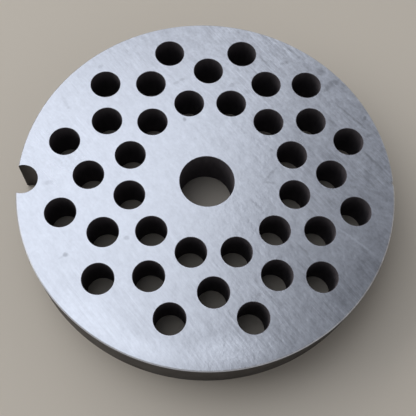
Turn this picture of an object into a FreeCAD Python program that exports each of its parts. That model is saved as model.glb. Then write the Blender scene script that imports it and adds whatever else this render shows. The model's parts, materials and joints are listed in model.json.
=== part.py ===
# Meat grinder plate: one ground steel disc. The blank is turned, with its bore for the feed screw's
# stud. Thirty-six equal holes are drilled through it on three rings of twelve, the middle ring half
# a step round from the other two. A half-round notch in the rim keys the plate in its housing.
# Millimetres and degrees. The disc stands on z = 0 with its bore on the Z axis and its notch on -X.
import FreeCAD, Part
import Sketcher
import math
import os

NODE = "plate"

# Driving dimensions of the plate. Each ring of holes was drilled from a set-up of its own, so each
# has its own centre, a little off the bore, and all three are turned a little from the notch.
SIZES = {
    "plate_diameter": 98.4,
    "plate_thickness": 12.7,
    "edge_break": 0.3,
    "bore_diameter": 14.3,
    "hole_diameter": 8.0,
    "holes_per_ring": 12,
    "ring_turn": 0.8,
    "rim_to_outer_ring": 10.0,
    "outer_to_middle_ring": 7.4,
    "middle_to_inner_ring": 9.65,
    "outer_ring_shift_x": 0.4,
    "outer_ring_shift_y": 1.5,
    "middle_ring_shift_x": 1.0,
    "middle_ring_shift_y": 1.9,
    "inner_ring_shift_x": 1.3,
    "inner_ring_shift_y": 1.9,
    "notch_diameter": 8.0,
    "notch_depth": 5.5,
}

# The radius of each ring's circle of hole centres. The rings are set out from the rim inwards.
OUTER_RADIUS = "(sizes.plate_diameter / 2 - sizes.rim_to_outer_ring)"
MIDDLE_RADIUS = f"({OUTER_RADIUS} - sizes.outer_to_middle_ring)"
INNER_RADIUS = f"({MIDDLE_RADIUS} - sizes.middle_to_inner_ring)"

doc = FreeCAD.newDocument("grinder_plate")
sheet = doc.addObject("Spreadsheet::Sheet", "sizes")
for row, (alias, size) in enumerate(SIZES.items(), start=1):
    sheet.set(f"A{row}", alias)
    sheet.set(f"B{row}", str(size))
    sheet.setAlias(f"B{row}", alias)
doc.recompute()

body = doc.addObject("PartDesign::Body", NODE)
body.Label = NODE
body.Placement = FreeCAD.Placement()


def value_of(sketch, formula):
    """What a formula on the spreadsheet gives, as a plain number in millimetres or radians."""
    result = sketch.evalExpression(formula)
    if isinstance(result, FreeCAD.Units.Quantity):
        return float(result.getValueAs("rad"))
    return float(result)


def new_sketch(name, role):
    """A sketch that lies on one of the body's own origin planes, found by its role."""
    plane = next(item for item in body.Origin.OriginFeatures if item.Role == role)
    sketch = body.newObject("Sketcher::SketchObject", name)
    sketch.AttachmentSupport = (plane, [""])
    sketch.MapMode = "FlatFace"
    return sketch


def dimension(sketch, name, kind, places, formula):
    """Add a dimension to a sketch and tie its value to the spreadsheet."""
    index = sketch.addConstraint(Sketcher.Constraint(kind, *places, value_of(sketch, formula)))
    sketch.renameConstraint(index, name)
    sketch.setExpression(f"Constraints.{name}", formula)


def turn_blank():
    """Turn the disc and its bore from half of its section, with a small break on both rim corners."""
    sketch = new_sketch("blank_section", "XZ_Plane")
    bore = value_of(sketch, "sizes.bore_diameter / 2")
    rim = value_of(sketch, "sizes.plate_diameter / 2")
    top = value_of(sketch, "sizes.plate_thickness")
    corner = value_of(sketch, "sizes.edge_break")
    outline = [
        FreeCAD.Vector(bore, 0, 0),
        FreeCAD.Vector(rim - corner, 0, 0),
        FreeCAD.Vector(rim, corner, 0),
        FreeCAD.Vector(rim, top - corner, 0),
        FreeCAD.Vector(rim - corner, top, 0),
        FreeCAD.Vector(bore, top, 0),
    ]
    back_face, lower_break, rim_wall, upper_break, top_face, bore_wall = range(len(outline))
    for start, end in zip(outline, outline[1:] + outline[:1]):
        sketch.addGeometry(Part.LineSegment(start, end))
    for edge in range(len(outline)):
        following = (edge + 1) % len(outline)
        sketch.addConstraint(Sketcher.Constraint("Coincident", edge, 2, following, 1))
    sketch.addConstraint(Sketcher.Constraint("PointOnObject", back_face, 1, -1))
    sketch.addConstraint(Sketcher.Constraint("Horizontal", back_face))
    sketch.addConstraint(Sketcher.Constraint("Horizontal", top_face))
    sketch.addConstraint(Sketcher.Constraint("Vertical", rim_wall))
    sketch.addConstraint(Sketcher.Constraint("Vertical", bore_wall))
    dimension(sketch, "bore_radius", "DistanceX", (-1, 1, back_face, 1), "sizes.bore_diameter / 2")
    dimension(sketch, "rim_radius", "DistanceX", (-1, 1, rim_wall, 1), "sizes.plate_diameter / 2")
    dimension(sketch, "thickness", "DistanceY", (-1, 1, top_face, 1), "sizes.plate_thickness")
    for name, edge, inner, outer in (("lower", lower_break, 1, 2), ("upper", upper_break, 2, 1)):
        run = (edge, inner, edge, outer)
        rise = (edge, 1, edge, 2)
        dimension(sketch, f"{name}_break_run", "DistanceX", run, "sizes.edge_break")
        dimension(sketch, f"{name}_break_rise", "DistanceY", rise, "sizes.edge_break")
    blank = body.newObject("PartDesign::Revolution", "blank")
    blank.Profile = sketch
    blank.ReferenceAxis = (sketch, ["V_Axis"])
    blank.Angle = 360
    doc.recompute()


def cutter_circle(name, reach, turn, diameter):
    """A cutter's circle on the top face, at a reach and an angle from the sketch's own centre."""
    sketch = new_sketch(name, "XY_Plane")
    sketch.setExpression("AttachmentOffset.Base.z", "sizes.plate_thickness")
    distance = value_of(sketch, reach)
    angle = value_of(sketch, turn)
    centre = FreeCAD.Vector(distance * math.cos(angle), distance * math.sin(angle), 0)
    radius = value_of(sketch, diameter) / 2
    arm = sketch.addGeometry(Part.LineSegment(FreeCAD.Vector(), centre), True)
    circle = sketch.addGeometry(Part.Circle(centre, FreeCAD.Vector(0, 0, 1), radius))
    sketch.addConstraint(Sketcher.Constraint("Coincident", arm, 1, -1, 1))
    sketch.addConstraint(Sketcher.Constraint("Coincident", circle, 3, arm, 2))
    dimension(sketch, "reach", "Distance", (arm,), reach)
    dimension(sketch, "turn", "Angle", (arm,), turn)
    dimension(sketch, "cutter", "Diameter", (circle,), diameter)
    return sketch


def cut_through(sketch, name):
    """Cut a sketch's circle down through the whole plate, and make sure that metal came off."""
    before = body.Shape.Volume
    cut = body.newObject("PartDesign::Pocket", name)
    cut.Profile = sketch
    cut.Type = "ThroughAll"
    cut.Reversed = False
    doc.recompute()
    if cut.Shape.Volume >= before:
        raise RuntimeError(f"{name} removed no metal")
    return cut


def drill_ring(ring, radius, half_steps):
    """Drill one hole of a ring, so many half steps round, and repeat it about the ring's own centre."""
    sketch = cutter_circle(
        name=f"{ring}_hole_circle",
        reach=radius,
        turn=f"sizes.ring_turn * 1 deg + {half_steps} * 180 deg / sizes.holes_per_ring",
        diameter="sizes.hole_diameter",
    )
    sketch.setExpression("AttachmentOffset.Base.x", f"sizes.{ring}_ring_shift_x")
    sketch.setExpression("AttachmentOffset.Base.y", f"sizes.{ring}_ring_shift_y")
    hole = cut_through(sketch, f"{ring}_hole")
    pattern = body.newObject("PartDesign::PolarPattern", f"{ring}_ring")
    pattern.Originals = [hole]
    pattern.Axis = (sketch, ["N_Axis"])
    pattern.Angle = 360
    pattern.setExpression("Occurrences", "sizes.holes_per_ring")
    body.Tip = pattern
    doc.recompute()
    print(ring, "ring:", pattern.Occurrences, "holes, volume", round(body.Shape.Volume, 1))


def mill_notch():
    """Mill the half-round key notch into the rim, on the -X side."""
    sketch = cutter_circle(
        name="notch_circle",
        reach="sizes.plate_diameter / 2 - sizes.notch_depth + sizes.notch_diameter / 2",
        turn="180 deg",
        diameter="sizes.notch_diameter",
    )
    cut_through(sketch, "notch")


turn_blank()
print("blank: volume", round(body.Shape.Volume, 1))
drill_ring("outer", OUTER_RADIUS, half_steps=1)
drill_ring("middle", MIDDLE_RADIUS, half_steps=0)
drill_ring("inner", INNER_RADIUS, half_steps=1)
mill_notch()

for item in doc.Objects:
    if "Invalid" in item.State or "Error" in item.State:
        raise RuntimeError(f"{item.Name} failed: {item.State}")
if body.Shape.isNull() or not body.Shape.isValid() or len(body.Shape.Solids) != 1:
    raise RuntimeError("the plate is not one valid solid")
print("plate: volume", round(body.Shape.Volume, 1), body.Shape.BoundBox)

os.makedirs("parts", exist_ok=True)
body.Shape.exportStep(f"parts/{body.Label}.step")
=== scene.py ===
# %% [markdown]
# # A meat grinder plate in ground steel
#
# The plate is one disc of hardened steel. Both faces are surface-ground, so fine straight lines run
# across them, while the rim and the walls of the holes keep the dark scale of the heat treatment.
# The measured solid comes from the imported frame. This lesson reads the hole pattern off it, makes a
# finer shell with softened edges in the same place, and gives each kind of surface its own finish.

# %% Load the frame
import json
import math

import bmesh
import bpy
from mathutils import Matrix, Vector


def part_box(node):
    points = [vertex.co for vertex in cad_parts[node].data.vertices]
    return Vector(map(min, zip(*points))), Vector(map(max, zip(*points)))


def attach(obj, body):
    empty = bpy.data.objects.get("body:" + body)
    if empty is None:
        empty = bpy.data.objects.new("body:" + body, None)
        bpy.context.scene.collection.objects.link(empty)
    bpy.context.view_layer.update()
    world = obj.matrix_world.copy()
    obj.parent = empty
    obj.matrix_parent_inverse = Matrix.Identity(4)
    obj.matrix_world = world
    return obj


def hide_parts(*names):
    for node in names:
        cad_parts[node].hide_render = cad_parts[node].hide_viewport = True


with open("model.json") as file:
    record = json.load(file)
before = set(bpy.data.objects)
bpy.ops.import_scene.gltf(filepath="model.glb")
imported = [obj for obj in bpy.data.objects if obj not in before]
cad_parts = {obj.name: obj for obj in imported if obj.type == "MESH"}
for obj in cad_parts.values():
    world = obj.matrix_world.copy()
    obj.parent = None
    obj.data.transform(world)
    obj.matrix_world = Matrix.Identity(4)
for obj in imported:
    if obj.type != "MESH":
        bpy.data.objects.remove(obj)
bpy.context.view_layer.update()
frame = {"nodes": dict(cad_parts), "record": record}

cad_plate = frame["nodes"]["plate"]
mounts = {mount["name"]: mount for mount in frame["record"]["mounts"]}

# %% [markdown]
# ## Sizes
#
# Sizes could be typed in again, but then they might drift from the solid. Here they are read off the
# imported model: the outer radius and the thickness from its box, and the notch's place from its mount.
# Lengths are in metres, and MM keeps small ones readable.

# %% Read the main sizes
MM = 0.001
_, high_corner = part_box("plate")
RIM_RADIUS = high_corner.x
THICKNESS = high_corner.z
NOTCH_CENTRE = Vector(mounts["key_notch"]["pos_m"])
NOTCH_CENTRE.z = 0
print("rim radius", round(RIM_RADIUS / MM, 2), "thickness", round(THICKNESS / MM, 2))

# %% [markdown]
# ## The hole pattern
#
# The holes could be set out again from ring diameters. Reading them off the solid is surer: a merged
# copy of its mesh has sharp edges round every hole, and each closed ring of them at the top face is
# one hole. A ring's middle is the hole's centre. The ring that reaches furthest out is the outline.

# %% Find the rings of sharp edges on the top face
SHARP = math.radians(30)
WELD = 0.001 * MM
TOP_SLACK = 0.01 * MM


def rings_on_top(cad_object):
    """The closed rings of sharp edges on the top face, each as a list of points in the plane z = 0."""
    copy = bmesh.new()
    copy.from_mesh(cad_object.data)
    bmesh.ops.remove_doubles(copy, verts=copy.verts, dist=WELD)
    top = max(vert.co.z for vert in copy.verts) - TOP_SLACK
    edges = {
        edge for edge in copy.edges
        if all(vert.co.z > top for vert in edge.verts) and edge.calc_face_angle(0) > SHARP
    }
    rings = []
    while edges:
        waiting = [edges.pop()]
        verts = set()
        while waiting:
            edge = waiting.pop()
            for vert in edge.verts:
                verts.add(vert)
                beside = edges.intersection(vert.link_edges)
                edges -= beside
                waiting += beside
        rings.append([Vector((vert.co.x, vert.co.y, 0)) for vert in verts])
    copy.free()
    return rings


def reach(ring):
    """How far a ring's furthest point is from the plate's axis."""
    return max(point.length for point in ring)


rings = sorted(rings_on_top(cad_plate), key=reach)
outline_ring = rings.pop()
holes = []
for ring in rings:
    centre = sum(ring, Vector()) / len(ring)
    holes.append((centre, (ring[0] - centre).length))
EDGE_BREAK = RIM_RADIUS - reach(outline_ring)
NOTCH_RADIUS = min((point - NOTCH_CENTRE).length for point in outline_ring)
print(len(holes), "holes, radii in mm", sorted({round(radius / MM, 2) for _, radius in holes}))
print("edge break", round(EDGE_BREAK / MM, 2), "notch radius", round(NOTCH_RADIUS / MM, 2))

# %% [markdown]
# ## The camera
#
# The picture was taken from close by, looking down steeply, with the camera leaning a little. The
# place and the lens were found by matching the plate's circles with the ellipses that they make in the
# picture. The camera looks at a point on the top face, and is then rolled about its own line of sight.

# %% Set up the camera
CAMERA_PLACE = Vector((-7.1, -77.7, 182.3)) * MM
CAMERA_AIM = Vector((0.2, -7.6, 12.7)) * MM
CAMERA_ROLL = math.radians(6.06)
LENS = 62.0
NEAR_LIMIT = 10 * MM


def make_camera():
    """Add the camera at the photograph's angle."""
    camera = bpy.data.objects.new("camera", bpy.data.cameras.new("camera"))
    bpy.context.scene.collection.objects.link(camera)
    camera.data.lens = LENS
    camera.data.clip_start = NEAR_LIMIT
    turn = (CAMERA_AIM - CAMERA_PLACE).to_track_quat("-Z", "Y").to_matrix().to_4x4()
    roll = Matrix.Rotation(CAMERA_ROLL, 4, "Z")
    camera.matrix_world = Matrix.Translation(CAMERA_PLACE) @ turn @ roll
    bpy.context.scene.camera = camera


make_camera()
print("camera distance in mm", round((CAMERA_AIM - CAMERA_PLACE).length / MM, 1))

# %% [markdown]
# ## The shell of the plate
#
# On the real plate the hole edges are sharp enough to cut, but no edge is perfectly sharp, and a tiny
# round is what catches the light. Bevelling a drilled mesh works, though it struggles where slivers
# meet. Here every wall is built as a stack of closed loops instead, with the round as loops of its
# own, and bridge_loops joins each loop to the next. The plate is its own mirror image, so only its
# upper half is made this way, standing on z = 0. Mirror adds the lower half and welds the two there,
# and the whole shell is then lifted by half its thickness.

# %% Loops and walls
EDGE_ROUND = 0.1 * MM
RIM_ROUND = 0.02 * MM
FACE_BORDER = 0.6 * MM
HALF_THICKNESS = THICKNESS / 2
HOLE_POINTS = 72
RIM_POINTS = 900
NOTCH_POINTS = 48


def closed_loop(mesh, points):
    """A closed loop of edges through the points."""
    verts = [mesh.verts.new(point) for point in points]
    return [mesh.edges.new((verts[i - 1], verts[i])) for i in range(len(verts))]


def wall(mesh, loops, material):
    """Bridge each loop to the next and give the new faces one material. Returns the top loop."""
    for upper, lower in zip(loops, loops[1:]):
        made = bmesh.ops.bridge_loops(mesh, edges=upper + lower)
        for face in made["faces"]:
            face.material_index = material
            face.smooth = True
    return loops[0]


def on_circle(radius, angle, height):
    """A point at an angle round a level circle about the plate's axis."""
    return Vector((radius * math.cos(angle), radius * math.sin(angle), height))


def circle_points(centre, radius, depth):
    """Points round a level circle, at a depth below the top face."""
    step = 2 * math.pi / HOLE_POINTS
    height = HALF_THICKNESS - depth
    return [centre + on_circle(radius, i * step, height) for i in range(HOLE_POINTS)]


# %% [markdown]
# ## The rim and its notch
#
# The outline is a large arc, broken by the notch's small arc. At each level the rim circle is a bit
# smaller or the notch a bit wider, so both arcs are worked out from where the two circles cross. The
# same number of points on every level lets the loops join point to point.

# %% Outline of the plate at one level
def outline_points(depth, inset, widen):
    """The outline at a depth below the top face, with its rim inset and its notch widened a little."""
    rim = RIM_RADIUS - inset
    notch = NOTCH_RADIUS + widen
    apart = NOTCH_CENTRE.length
    cross_x = -(rim ** 2 + apart ** 2 - notch ** 2) / (2 * apart)
    cross_y = math.sqrt(rim ** 2 - cross_x ** 2)
    rim_end = math.atan2(cross_y, cross_x)
    notch_end = math.atan2(cross_y, cross_x + apart)
    height = HALF_THICKNESS - depth
    points = []
    for i in range(RIM_POINTS + 1):
        angle = rim_end * (2 * i / RIM_POINTS - 1)
        points.append(on_circle(rim, angle, height))
    for i in range(1, NOTCH_POINTS):
        angle = notch_end * (1 - 2 * i / NOTCH_POINTS)
        points.append(NOTCH_CENTRE + on_circle(notch, angle, height))
    return points


# %% [markdown]
# ## Building the shell
#
# Down to the middle plane, each hole is a stack of four loops and the outline one of seven. Four of
# the seven soften the two corners of the 45 degree edge break. The top one leaves a narrow flat border
# that keeps the shading steady, and one lower down is the foot of the ding. The top face is a flat
# sheet with holes, which triangle_fill makes straight from the top loops. The rim's edge break is
# stoned after hardening, so it is bright like the faces, while the holes and the notch stay dark right
# up to their edges.

# %% Build the plate's shell
GROUND, SCALED, TURNED = range(3)
HALF_ROUND = EDGE_ROUND * (1 - math.sqrt(0.5))
SLANT = RIM_ROUND * math.sqrt(0.5)
DING_HEIGHT = 0.9 * MM
HOLE_LEVELS = (
    # depth below the top face, how much wider the hole is
    (0, EDGE_ROUND),
    (HALF_ROUND, HALF_ROUND),
    (EDGE_ROUND, 0),
    (HALF_THICKNESS, 0),
)
OUTLINE_LEVELS = (
    # depth below the top face, how far in the rim is, how much wider the notch is
    (0, EDGE_BREAK + RIM_ROUND + FACE_BORDER, RIM_ROUND + FACE_BORDER),
    (0, EDGE_BREAK + RIM_ROUND, RIM_ROUND),
    (SLANT, EDGE_BREAK - SLANT, 0),
    (EDGE_BREAK - SLANT, SLANT, 0),
    (EDGE_BREAK + RIM_ROUND, 0, 0),
    (DING_HEIGHT, 0, 0),
    (HALF_THICKNESS, 0, 0),
)


def upper_half(mesh):
    """Add the walls and the face of the plate's upper half."""
    top_edges = []
    for centre, radius in holes:
        loops = [
            closed_loop(mesh, circle_points(centre, radius + widen, depth))
            for depth, widen in HOLE_LEVELS
        ]
        top_edges += wall(mesh, loops, SCALED)
    loops = [closed_loop(mesh, outline_points(*level)) for level in OUTLINE_LEVELS]
    top_edges += wall(mesh, loops, TURNED)
    made = bmesh.ops.triangle_fill(mesh, edges=top_edges, use_beauty=True, use_dissolve=False)
    for face in made["geom"]:
        if isinstance(face, bmesh.types.BMFace):
            face.material_index = GROUND
            face.smooth = True


def brighten_edge_break(mesh):
    """Give the rim's edge break the ground finish, and leave the notch dark."""
    for face in mesh.faces:
        middle = face.calc_center_median()
        depth = HALF_THICKNESS - middle.z
        middle.z = 0
        in_notch = (middle - NOTCH_CENTRE).length < NOTCH_RADIUS + RIM_ROUND
        if face.material_index == TURNED and depth < EDGE_BREAK and not in_notch:
            face.material_index = GROUND


# %% [markdown]
# ## A ding in the rim
#
# Straight across from the notch, the top corner of the rim has been struck. A real ding pushes metal
# in, deepest in the middle and fading out to the sides and downwards. Moving the points that are
# already there does the same, so no cut is needed.

# %% Press in the ding
DING_WIDTH = 0.4 * MM
DING_DEPTH = 0.4 * MM


def press_ding(mesh):
    """Push the rim's top corner in, straight across from the notch."""
    inner_edge = RIM_RADIUS - EDGE_BREAK - FACE_BORDER - 2 * RIM_ROUND
    for vert in mesh.verts:
        fade = 1 - (THICKNESS - vert.co.z) / DING_HEIGHT
        if vert.co.x > inner_edge and fade > 0:
            vert.co.x -= DING_DEPTH * fade * math.exp(-(vert.co.y / DING_WIDTH) ** 2)


# %% [markdown]
# ## Two halves make the plate
#
# The lower half could be built as the upper one was. Mirror is shorter and makes the two match: it
# copies the half upside down and welds both along the middle plane. The ding comes after it, because
# only the top corner was struck.

# %% Mirror the upper half and finish the shell
def make_plate():
    """The plate's finished shell, with its faces ground, its holes scaled and its rim turned."""
    mesh = bmesh.new()
    upper_half(mesh)
    brighten_edge_break(mesh)
    bmesh.ops.mirror(
        mesh,
        geom=mesh.verts[:] + mesh.edges[:] + mesh.faces[:],
        matrix=Matrix(),
        merge_dist=WELD,
        axis="Z",
    )
    bmesh.ops.translate(mesh, verts=mesh.verts, vec=(0, 0, HALF_THICKNESS))
    press_ding(mesh)
    bmesh.ops.recalc_face_normals(mesh, faces=mesh.faces)
    data = bpy.data.meshes.new("ground_plate")
    mesh.to_mesh(data)
    open_edges = sum(not edge.is_manifold for edge in mesh.edges)
    print("shell:", len(mesh.verts), "points,", len(mesh.faces), "faces,", open_edges, "open edges")
    print("volume in cubic mm", round(mesh.calc_volume() / MM ** 3, 1))
    mesh.free()
    plate = bpy.data.objects.new("ground_plate", data)
    bpy.context.scene.collection.objects.link(plate)
    return plate


plate = make_plate()

# %% [markdown]
# ## Steady normals
#
# The shell is shaded smooth so that the tiny rounds look round, but that would also bend the light on
# the flat faces. Splitting the edges would undo the rounds. A Weighted Normal modifier keeps both, but
# on a mesh in metres such small areas all count alike. Here the same is worked out on the mesh: at each
# point every face counts by the square of its area, so flats stay flat and the rounds take the turn.

# %% Weight the normals by face area
def steady_normals(piece):
    """Set each point's normal from the faces round it, where the largest count most."""
    shape = bmesh.new()
    shape.from_mesh(piece.data)
    normals = []
    for vert in shape.verts:
        shares = [face.normal * (face.calc_area() / MM ** 2) ** 2 for face in vert.link_faces]
        normals.append(sum(shares, Vector()).normalized())
    shape.free()
    piece.data.normals_split_custom_set_from_vertices(normals)
    print("normals set on", len(normals), "points")


steady_normals(plate)

# %% [markdown]
# ## Ground steel
#
# Surface grinding leaves thousands of fine straight scratches, all one way. An image could hold them,
# but noise that is stretched along the lines does it at any size. The lines come in patches, and a
# fine mottle lies over them. Both change the colour a little and the height a little more: where the
# face mirrors the edge of a lamp, a slope too small to see on its own turns light into dark. That is
# why the real plate looks smooth on its bright side and lined on its grey side.

# %% Helpers for node materials
GRINDING_ANGLE = math.radians(-50)


class Finish:
    """A material and short ways to add nodes to it."""

    def __init__(self, name):
        self.material = bpy.data.materials.new(name)
        self.material.use_nodes = True
        self.nodes = self.material.node_tree.nodes
        self.links = self.material.node_tree.links
        self.shader = self.nodes["Principled BSDF"]
        self.place = self.nodes.new("ShaderNodeTexCoord").outputs["Object"]

    def link(self, value, socket):
        """Plug an output into a socket, or set a plain value on it."""
        if isinstance(value, bpy.types.NodeSocket):
            self.links.new(value, socket)
        else:
            socket.default_value = value

    def mapped(self, angle=0.0, scale=(1, 1, 1), centre=(0, 0, 0), place=None):
        """Object coordinates about a centre, turned by an angle and scaled along the turned axes."""
        node = self.nodes.new("ShaderNodeMapping")
        node.vector_type = "TEXTURE"
        node.inputs["Location"].default_value = centre
        node.inputs["Rotation"].default_value = (0, 0, angle)
        node.inputs["Scale"].default_value = [1 / part for part in scale]
        self.links.new(place or self.place, node.inputs["Vector"])
        return node.outputs["Vector"]

    def noise(self, vector, detail):
        """Noise between 0 and 1 on a vector that is already scaled."""
        node = self.nodes.new("ShaderNodeTexNoise")
        node.inputs["Scale"].default_value = 1
        node.inputs["Detail"].default_value = detail
        self.links.new(vector, node.inputs["Vector"])
        return node.outputs["Fac"]

    def math(self, operation, first, second):
        """One Math node."""
        node = self.nodes.new("ShaderNodeMath")
        node.operation = operation
        self.link(first, node.inputs[0])
        self.link(second, node.inputs[1])
        return node.outputs[0]

    def spread(self, value, low, high, new_low=0.0, new_high=1.0):
        """Map a value from one range to another, with ends clamped."""
        node = self.nodes.new("ShaderNodeMapRange")
        self.link(value, node.inputs["Value"])
        self.link(low, node.inputs["From Min"])
        self.link(high, node.inputs["From Max"])
        self.link(new_low, node.inputs["To Min"])
        self.link(new_high, node.inputs["To Max"])
        return node.outputs["Result"]

    def blend(self, amount, first, second):
        """Mix two colours."""
        node = self.nodes.new("ShaderNodeMix")
        node.data_type = "RGBA"
        self.link(amount, node.inputs["Factor"])
        self.link(first, node.inputs["A"])
        self.link(second, node.inputs["B"])
        return node.outputs["Result"]

    def bump(self, height, depth):
        """Turn a height between 0 and 1 into a bump of that depth in metres."""
        node = self.nodes.new("ShaderNodeBump")
        node.inputs["Strength"].default_value = 1
        node.inputs["Distance"].default_value = depth
        self.link(height, node.inputs["Height"])
        self.links.new(node.outputs["Normal"], self.shader.inputs["Normal"])


# %% [markdown]
# ## Marks of use
#
# A plate that has been handled has a few marks that no even pattern gives: specks, smudges and short
# scratches. The table also holds a painted highlight along the front of the rim and a painted shade to
# the right of it. Each one here is a soft ellipse, placed in millimetres on the top face. Reaching down
# only a little way, it leaves the back face alone. A minus makes a mark brighter than the steel round
# it.

# %% Marks on the top face
MARKS_AND_PAINTED_LIGHT = (
    # x, y, half length, half width, turn in degrees, darkness
    # single specks
    (-35.2, -20.5, 0.9, 0.8, 0, 0.50),
    (-36.2, -21.2, 1.2, 0.4, 35, 0.12),
    (-6.0, 18.3, 0.8, 0.6, -70, 0.45),
    (-3.0, 12.4, 0.7, 0.6, 0, 0.16),
    (-20.3, -15.9, 0.9, 0.8, 0, 0.34),
    (17.1, 9.3, 0.7, 0.6, 0, 0.28),
    (43.2, 19.5, 1.0, 0.5, 70, 0.45),
    (-29.3, 34.6, 1.1, 0.7, 45, 0.24),
    (-37.0, 21.2, 0.9, 0.7, 0, 0.14),
    (11.4, 27.2, 1.0, 0.8, 0, 0.20),
    (48.9, 0.2, 0.8, 0.6, 0, 0.50),
    (38.6, -1.3, 0.7, 0.6, 0, 0.28),
    # smudges
    (-41.0, -1.0, 2.0, 0.8, 5, 0.18),
    (32.0, 34.1, 1.9, 1.4, -50, 0.40),
    (35.2, 30.1, 2.7, 1.4, 30, 0.38),
    (33.4, 28.5, 1.8, 0.8, 40, 0.30),
    (21.3, 36.5, 0.8, 0.6, 20, 0.24),
    (22.4, 36.9, 0.8, 0.6, 50, 0.24),
    (24.3, 33.4, 1.2, 0.6, 40, 0.18),
    (-8.3, 29.7, 1.2, 0.6, 30, 0.22),
    (-6.8, 30.7, 1.2, 0.6, 25, 0.22),
    (7.0, 29.3, 1.6, 0.6, 25, 0.16),
    (44.0, 14.1, 1.6, 0.7, 8, 0.38),
    (26.4, -7.9, 1.7, 0.8, -45, 0.20),
    (12.1, -27.0, 1.2, 0.5, -50, 0.18),
    (12.6, -30.4, 1.3, 0.5, 10, 0.18),
    (42.9, 2.2, 3.0, 1.2, -50, 0.17),
    (-38.4, 23.2, 3.0, 0.6, -62, 0.14),
    (43.8, -2.6, 1.9, 0.6, -22, 0.24),
    (32.4, -6.2, 2.0, 1.0, -60, 0.18),
    # scratches along the grinding lines
    (39.9, 19.4, 8.4, 0.45, -45, 0.36),
    (39.9, 23.9, 3.6, 0.45, -45, 0.20),
    (34.4, 17.6, 2.4, 0.45, -48, 0.24),
    (43.7, 7.1, 3.2, 0.45, -50, 0.28),
    (12.7, -6.6, 3.6, 0.45, -46, 0.22),
    (13.3, -4.5, 2.0, 0.45, -46, 0.16),
    (24.1, -18.6, 3.6, 0.40, -46, 0.26),
    (23.5, -22.8, 2.0, 0.35, -48, 0.18),
    (16.8, -32.0, 3.4, 0.50, -42, 0.18),
    (-1.8, 14.2, 4.2, 0.40, -52, 0.12),
    (16.4, 37.0, 2.4, 0.40, -50, 0.18),
    # a painted highlight along the front of the rim, in three parts
    (6.0, -44.0, 13.0, 4.5, 6, -0.38),
    (-13.0, -44.0, 10.0, 3.5, -12, -0.18),
    (-26.0, -37.5, 14.0, 5.0, -35, -0.17),
    # a painted shade to the right of it
    (39.0, -26.0, 15.0, 7.0, 56, 0.20),
    # a bright scratch, and a hooked one across the lines
    (37.8, -16.3, 7.0, 0.45, -39, -0.34),
    (16.6, 2.1, 3.6, 0.50, 49, 0.28),
    (16.1, -0.2, 1.8, 0.50, -11, 0.28),
)
print(len(MARKS_AND_PAINTED_LIGHT), "marks, the longest", 2 * max(mark[2] for mark in MARKS_AND_PAINTED_LIGHT), "mm")

# %% [markdown]
# ## Ellipses with rough edges
#
# A spherical gradient is full at its middle and fades to nothing at its edge, so one that is stretched
# and turned is a soft ellipse. Real marks have no clean outline. Pushing the coordinates about with
# noise before the ellipse is drawn makes its edge ragged.

# %% Draw the marks
MARK_REACH = 3.0
MARK_CORE = 0.6
RAGGED_GRAIN = 900
RAGGED_PUSH = 0.6 * MM


def ragged(finish, scale, amount):
    """Object coordinates pushed about by noise, to give what is drawn on them rough edges."""
    noise = finish.nodes.new("ShaderNodeTexNoise")
    noise.inputs["Scale"].default_value = scale
    finish.links.new(finish.place, noise.inputs["Vector"])
    centred = finish.nodes.new("ShaderNodeVectorMath")
    centred.operation = "SUBTRACT"
    centred.inputs[1].default_value = (0.5, 0.5, 0.5)
    finish.links.new(noise.outputs["Color"], centred.inputs[0])
    pushed = finish.nodes.new("ShaderNodeVectorMath")
    pushed.operation = "MULTIPLY_ADD"
    pushed.inputs[1].default_value = (amount, amount, amount)
    finish.links.new(centred.outputs["Vector"], pushed.inputs[0])
    finish.links.new(finish.place, pushed.inputs[2])
    return pushed.outputs["Vector"]


def mark_and_painted_light_mask(finish):
    """How much darker than plain steel each place on the top face is, with the painted highlight and
    shade.
    """
    rough_edged = ragged(finish, RAGGED_GRAIN, RAGGED_PUSH)
    total = 0.0
    for x, y, half_length, half_width, turn, darkness in MARKS_AND_PAINTED_LIGHT:
        centre = Vector((x * MM, y * MM, THICKNESS))
        sizes = (half_length * MM, half_width * MM, MARK_REACH * MM)
        near = finish.mapped(math.radians(turn), [1 / size for size in sizes], centre, rough_edged)
        ball = finish.nodes.new("ShaderNodeTexGradient")
        ball.gradient_type = "SPHERICAL"
        finish.links.new(near, ball.inputs["Vector"])
        mark = finish.spread(ball.outputs["Fac"], 0, MARK_CORE, new_high=darkness)
        total = finish.math("ADD", total, mark)
    return total


# %% [markdown]
# ## Layers of grinding lines
#
# Each layer is noise of its own grain, stretched along the grinding lines: hairs, lines, specks, mottle,
# long streaks and broad sheen bands. The sheen bands are painted sheen where they lighten and darken
# the colour. The hairs and lines come in patches, and they are weak round the bore, where the hub of the
# knife polishes the face. Scales are per metre, so more is finer.

# %% Layer the grinding lines
GRAIN = (
    # layer, noise scale along the lines, across them and upwards, detail
    ("hairs", (230, 4200, 230), 2),
    ("lines", (90, 1300, 90), 2),
    ("specks", (1300, 1700, 1300), 2),
    ("mottle", (420, 640, 420), 3),
    ("streaks", (12, 400, 12), 2),
    ("sheen_bands", (20, 75, 20), 2),
)
PATCH_GRAIN = (45, 70, 45)
PATCH_LOW, PATCH_HIGH, PATCH_STRENGTH = 0.38, 0.62, 1.5
HUB_INNER, HUB_OUTER, HUB_STRENGTH = 12 * MM, 30 * MM, 0.4


def distance_from(finish, centre):
    """Each point's distance from the upright line through a centre on the floor."""
    flat = finish.nodes.new("ShaderNodeVectorMath")
    flat.operation = "MULTIPLY"
    flat.inputs[1].default_value = (1, 1, 0)
    finish.links.new(finish.place, flat.inputs[0])
    apart = finish.nodes.new("ShaderNodeVectorMath")
    apart.operation = "DISTANCE"
    apart.inputs[1].default_value = centre
    finish.links.new(flat.outputs["Vector"], apart.inputs[0])
    return apart.outputs["Value"]


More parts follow.
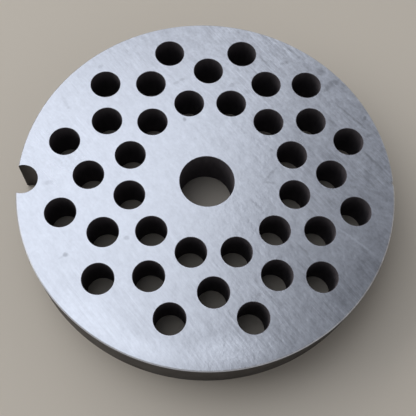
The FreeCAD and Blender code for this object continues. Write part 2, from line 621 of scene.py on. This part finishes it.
def grain_layers(finish):
    """The layers of noise, each about zero."""
    layers = {}
    for name, scale, detail in GRAIN:
        noise = finish.noise(finish.mapped(GRINDING_ANGLE, scale), detail)
        layers[name] = finish.math("SUBTRACT", noise, 0.5)
    spots = finish.noise(finish.mapped(GRINDING_ANGLE, PATCH_GRAIN), 1)
    patches = finish.spread(spots, PATCH_LOW, PATCH_HIGH, new_high=PATCH_STRENGTH)
    from_bore = distance_from(finish, (0, 0, 0))
    outside_hub = finish.spread(from_bore, HUB_INNER, HUB_OUTER, new_low=HUB_STRENGTH)
    lined = finish.math("MULTIPLY", patches, outside_hub)
    for name in ("hairs", "lines"):
        layers[name] = finish.math("MULTIPLY", layers[name], lined)
    return layers


def weighted(finish, layers, weights):
    """Sum of layers, each times its own weight."""
    value = 0.0
    for name, weight in weights.items():
        value = finish.math("ADD", value, finish.math("MULTIPLY", layers[name], weight))
    return value


# %% [markdown]
# ## The ground faces
#
# The layers set where the steel lies between a darker and a lighter grey, and how high it stands. The
# grain's tone is painted stronger away from the bright left side of the plate. This painted contrast
# stands in for the light, which shows the lines more on the grey side. Ground steel also spreads its
# reflections across the lines more than along them. Anisotropic does that, and Tangent, set level and
# square to the lines, gives it its direction.

# %% Make the ground steel
TONE_WEIGHTS = {"hairs": 0.22, "lines": 0.22, "specks": 0.30, "mottle": 0.32, "streaks": 0.13}
RELIEF_IN_MM = {"hairs": 0.003, "lines": 0.017, "specks": 0.012, "mottle": 0.036}
PAINTED_SHEEN_TONE = 0.16
PAINTED_CONTRAST_FROM = Vector((-45, -15, 0)) * MM
PAINTED_CONTRAST_NEAR, PAINTED_CONTRAST_FAR = 50 * MM, 92 * MM
NEAR_PAINTED_CONTRAST, FAR_PAINTED_CONTRAST = 0.85, 2.6
STEEL_DARK, STEEL_LIGHT = (0.42, 0.436, 0.485, 1), (0.86, 0.893, 0.985, 1)
STEEL_ROUGHNESS, BAND_ROUGHNESS = 0.29, 0.10
STEEL_ANISOTROPY = 0.4


def ground_steel():
    """Bright surface-ground steel with straight lines one way."""
    finish = Finish("ground_steel")
    shader = finish.shader
    layers = grain_layers(finish)
    # Painted contrast: the grain's tone grows stronger away from the bright left side, standing in for
    # light.
    from_side = distance_from(finish, PAINTED_CONTRAST_FROM)
    painted_contrast = finish.spread(from_side, PAINTED_CONTRAST_NEAR, PAINTED_CONTRAST_FAR, NEAR_PAINTED_CONTRAST, FAR_PAINTED_CONTRAST)
    fine = finish.math("MULTIPLY", weighted(finish, layers, TONE_WEIGHTS), painted_contrast)
    # Painted sheen: the broad sheen bands lighten and darken the steel's colour.
    tone = finish.math("ADD", fine, finish.math("MULTIPLY", layers["sheen_bands"], PAINTED_SHEEN_TONE))
    tone = finish.math("ADD", tone, 0.5)
    tone = finish.math("SUBTRACT", tone, mark_and_painted_light_mask(finish))
    finish.link(finish.blend(tone, STEEL_DARK, STEEL_LIGHT), shader.inputs["Base Color"])
    shader.inputs["Metallic"].default_value = 1
    shader.inputs["Anisotropic"].default_value = STEEL_ANISOTROPY
    uneven = finish.math("MULTIPLY", layers["sheen_bands"], BAND_ROUGHNESS)
    finish.link(finish.math("ADD", STEEL_ROUGHNESS, uneven), shader.inputs["Roughness"])
    across = finish.nodes.new("ShaderNodeCombineXYZ")
    across.inputs["X"].default_value = -math.sin(GRINDING_ANGLE)
    across.inputs["Y"].default_value = math.cos(GRINDING_ANGLE)
    finish.links.new(across.outputs["Vector"], shader.inputs["Tangent"])
    finish.bump(weighted(finish, layers, RELIEF_IN_MM), MM)
    print("ground steel:", len(finish.nodes), "nodes")
    return finish.material


# %% [markdown]
# ## Dark scale in the holes
#
# Hardening leaves a thin dull skin of oxide, which grinding takes off the faces and never reaches in the
# holes. A plain dark colour would do from afar. Noise that is stretched up the wall mixes two dark
# greys and roughens them, as drilling marks under the skin do.

# %% Make the dark scale
SCALE_GRAIN = (900, 900, 300)
SCALE_DARK, SCALE_LIGHT = (0.056, 0.050, 0.057, 1), (0.120, 0.108, 0.119, 1)
SCALE_DEPTH = 0.01 * MM


def scaled_steel():
    """Nearly black heat-treatment scale inside the holes."""
    finish = Finish("dark_scale")
    grain = finish.noise(finish.mapped(scale=SCALE_GRAIN), detail=4)
    shader = finish.shader
    shader.inputs["Metallic"].default_value = 0.0
    shader.inputs["Specular IOR Level"].default_value = 0.1
    finish.link(finish.blend(grain, SCALE_DARK, SCALE_LIGHT), shader.inputs["Base Color"])
    roughness = finish.spread(grain, 0.3, 0.7, new_low=0.65, new_high=0.8)
    finish.link(roughness, shader.inputs["Roughness"])
    finish.bump(grain, SCALE_DEPTH)
    print("dark scale:", len(finish.nodes), "nodes")
    return finish.material


# %% [markdown]
# ## The turned rim
#
# The rim keeps its skin of oxide too, over the fine rounds that the lathe left. Noise that is squeezed
# flat is nearly the same all the way round and changes quickly upwards, so it gives those rounds. A
# broader noise stains the colour.

# %% Make the turned rim
ROUNDS_GRAIN = (40, 40, 5000)
STAIN_GRAIN = (160, 160, 160)
RIM_DARK, RIM_LIGHT = (0.018, 0.015, 0.015, 1), (0.050, 0.042, 0.041, 1)
ROUNDS_DEPTH = 0.006 * MM


def turned_rim():
    """The turned rim, still dark from the heat treatment, with fine turning lines round it."""
    finish = Finish("turned_rim")
    rounds = finish.noise(finish.mapped(scale=ROUNDS_GRAIN), detail=2)
    stain = finish.noise(finish.mapped(scale=STAIN_GRAIN), detail=4)
    shader = finish.shader
    shader.inputs["Metallic"].default_value = 0.6
    shader.inputs["Specular IOR Level"].default_value = 0.3
    finish.link(finish.blend(stain, RIM_DARK, RIM_LIGHT), shader.inputs["Base Color"])
    roughness = finish.spread(stain, 0.3, 0.7, new_low=0.38, new_high=0.5)
    finish.link(roughness, shader.inputs["Roughness"])
    finish.bump(rounds, ROUNDS_DEPTH)
    print("turned rim:", len(finish.nodes), "nodes")
    return finish.material


# %% [markdown]
# ## Dress the plate
#
# The faces already carry the number of their finish, so the materials go on in the order of those
# numbers. The shell then takes the measured solid's place and rides on the plate's one body.

# %% Put the finishes on the plate
for material in (ground_steel(), scaled_steel(), turned_rim()):
    plate.data.materials.append(material)
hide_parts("plate")
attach(plate, "root")
print("finishes:", [material.name for material in plate.data.materials])

# %% [markdown]
# ## Floor
#
# A plain pale floor takes the plate's soft shadow. One large square is enough for that. It reaches so
# far that its edge is a horizon in the low views.

# %% Make the floor
FLOOR_HALF_WIDTH = 6
FLOOR_COLOUR = (0.66, 0.605, 0.53, 1)
FLOOR_ROUGHNESS = 0.9


def make_floor():
    """Lay a wide pale floor just under the plate."""
    mesh = bmesh.new()
    bmesh.ops.create_grid(mesh, x_segments=1, y_segments=1, size=FLOOR_HALF_WIDTH)
    data = bpy.data.meshes.new("floor")
    mesh.to_mesh(data)
    mesh.free()
    floor = bpy.data.objects.new("floor", data)
    bpy.context.scene.collection.objects.link(floor)
    finish = Finish("floor_paper")
    finish.shader.inputs["Base Color"].default_value = FLOOR_COLOUR
    finish.shader.inputs["Roughness"].default_value = FLOOR_ROUGHNESS
    data.materials.append(finish.material)
    print("floor:", round(floor.dimensions.x, 1), "m wide")


make_floor()

# %% [markdown]
# ## Light
#
# Bright metal shows what is round it, so the light is what gives this plate its look. One large soft
# panel hangs over its left side and reaches far back, a little askew, and the face mirrors it. The
# panel's right edge is above the plate, so towards the right the steel falls off to grey. A second soft
# lamp stands lower, at the back left. The face hardly mirrors it, so it mainly lights the floor and
# gives the plate its shadow.

# %% Hang the lights
def soft_light(name, place, aim, size, brightness, colour, turn=0.0):
    """Add a rectangular light. Its own face has the brightness, where 1 is a white that just clips."""
    light = bpy.data.lights.new(name, "AREA")
    light.shape = "RECTANGLE"
    light.size, light.size_y = size
    light.energy = brightness * math.pi * size[0] * size[1]
    light.color = colour
    lamp = bpy.data.objects.new(name, light)
    bpy.context.scene.collection.objects.link(lamp)
    facing = (aim - place).to_track_quat("-Z", "Y").to_matrix().to_4x4()
    lamp.matrix_world = Matrix.Translation(place) @ facing @ Matrix.Rotation(turn, 4, "Z")
    print(name, "of", [round(side, 3) for side in size], "m, brightness", brightness)


PANEL_HEIGHT = 0.8
PANEL_RIGHT = 0.031
PANEL_LEFT = -1.2
PANEL_FRONT = -0.207
PANEL_BACK = 0.578
PANEL_TURN = math.radians(-9.5)
panel_middle = Vector(((PANEL_LEFT + PANEL_RIGHT) / 2, (PANEL_FRONT + PANEL_BACK) / 2, 0))
panel_middle = Matrix.Rotation(PANEL_TURN, 4, "Z") @ panel_middle
soft_light(
    "overhead_panel",
    place=panel_middle + Vector((0, 0, PANEL_HEIGHT)),
    aim=panel_middle,
    size=(PANEL_RIGHT - PANEL_LEFT, PANEL_BACK - PANEL_FRONT),
    brightness=0.965,
    colour=(0.93, 0.965, 1.0),
    turn=PANEL_TURN,
)
soft_light(
    "side_light",
    place=Vector((-1.1, 0.7, 0.6)),
    aim=Vector((0, 0, 0)),
    size=(2.4, 0.8),
    brightness=1.9,
    colour=(1.0, 0.98, 0.95),
)

# %% [markdown]
# ## The room
#
# The steel also mirrors the room beyond the lamps. One even grey would light the part, but it would
# leave the grey side of the face flat. Here the world is mixed from four plain colours by direction:
# paler near the horizon than overhead, and brighter towards the back left than away from it.

# %% Make the room
# The first colour of each pair is away from the bright side, and the second is towards it.
HORIZON_COLOURS = (0.44, 0.43, 0.415, 1), (0.95, 0.93, 0.90, 1)
OVERHEAD_COLOURS = (0.07, 0.073, 0.082, 1), (0.37, 0.385, 0.42, 1)
BRIGHT_SIDE = (-0.5, 0.87, 0)
SIDE_START, SIDE_FULL = -0.1, 0.6
HORIZON_TOP, OVERHEAD_FOOT = 0.3, 0.8


def make_world():
    """Mix the world's colour from four by direction."""
    world = bpy.data.worlds.new("studio")
    bpy.context.scene.world = world
    world.use_nodes = True
    nodes, links = world.node_tree.nodes, world.node_tree.links
    direction = nodes.new("ShaderNodeTexCoord").outputs["Generated"]
    split = nodes.new("ShaderNodeSeparateXYZ")
    links.new(direction, split.inputs[0])
    rise = nodes.new("ShaderNodeMapRange")
    rise.interpolation_type = "SMOOTHSTEP"
    links.new(split.outputs["Z"], rise.inputs["Value"])
    rise.inputs["From Min"].default_value = HORIZON_TOP
    rise.inputs["From Max"].default_value = OVERHEAD_FOOT
    side = nodes.new("ShaderNodeVectorMath")
    side.operation = "DOT_PRODUCT"
    side.inputs[1].default_value = BRIGHT_SIDE
    links.new(direction, side.inputs[0])
    lean = nodes.new("ShaderNodeMapRange")
    links.new(side.outputs["Value"], lean.inputs["Value"])
    lean.inputs["From Min"].default_value = SIDE_START
    lean.inputs["From Max"].default_value = SIDE_FULL

    def blend(amount, first, second):
        """Mix two colours, each a plain one or another mix's."""
        mix = nodes.new("ShaderNodeMix")
        mix.data_type = "RGBA"
        links.new(amount, mix.inputs["Factor"])
        for colour, socket in ((first, mix.inputs["A"]), (second, mix.inputs["B"])):
            if isinstance(colour, bpy.types.NodeSocket):
                links.new(colour, socket)
            else:
                socket.default_value = colour
        return mix.outputs["Result"]

    horizon = blend(lean.outputs["Result"], *HORIZON_COLOURS)
    overhead = blend(lean.outputs["Result"], *OVERHEAD_COLOURS)
    room = blend(rise.outputs["Result"], horizon, overhead)
    links.new(room, nodes["Background"].inputs["Color"])
    nodes["Background"].inputs["Strength"].default_value = 1
    print("room:", len(nodes), "nodes")


make_world()
bpy.context.scene.view_settings.view_transform = "Standard"
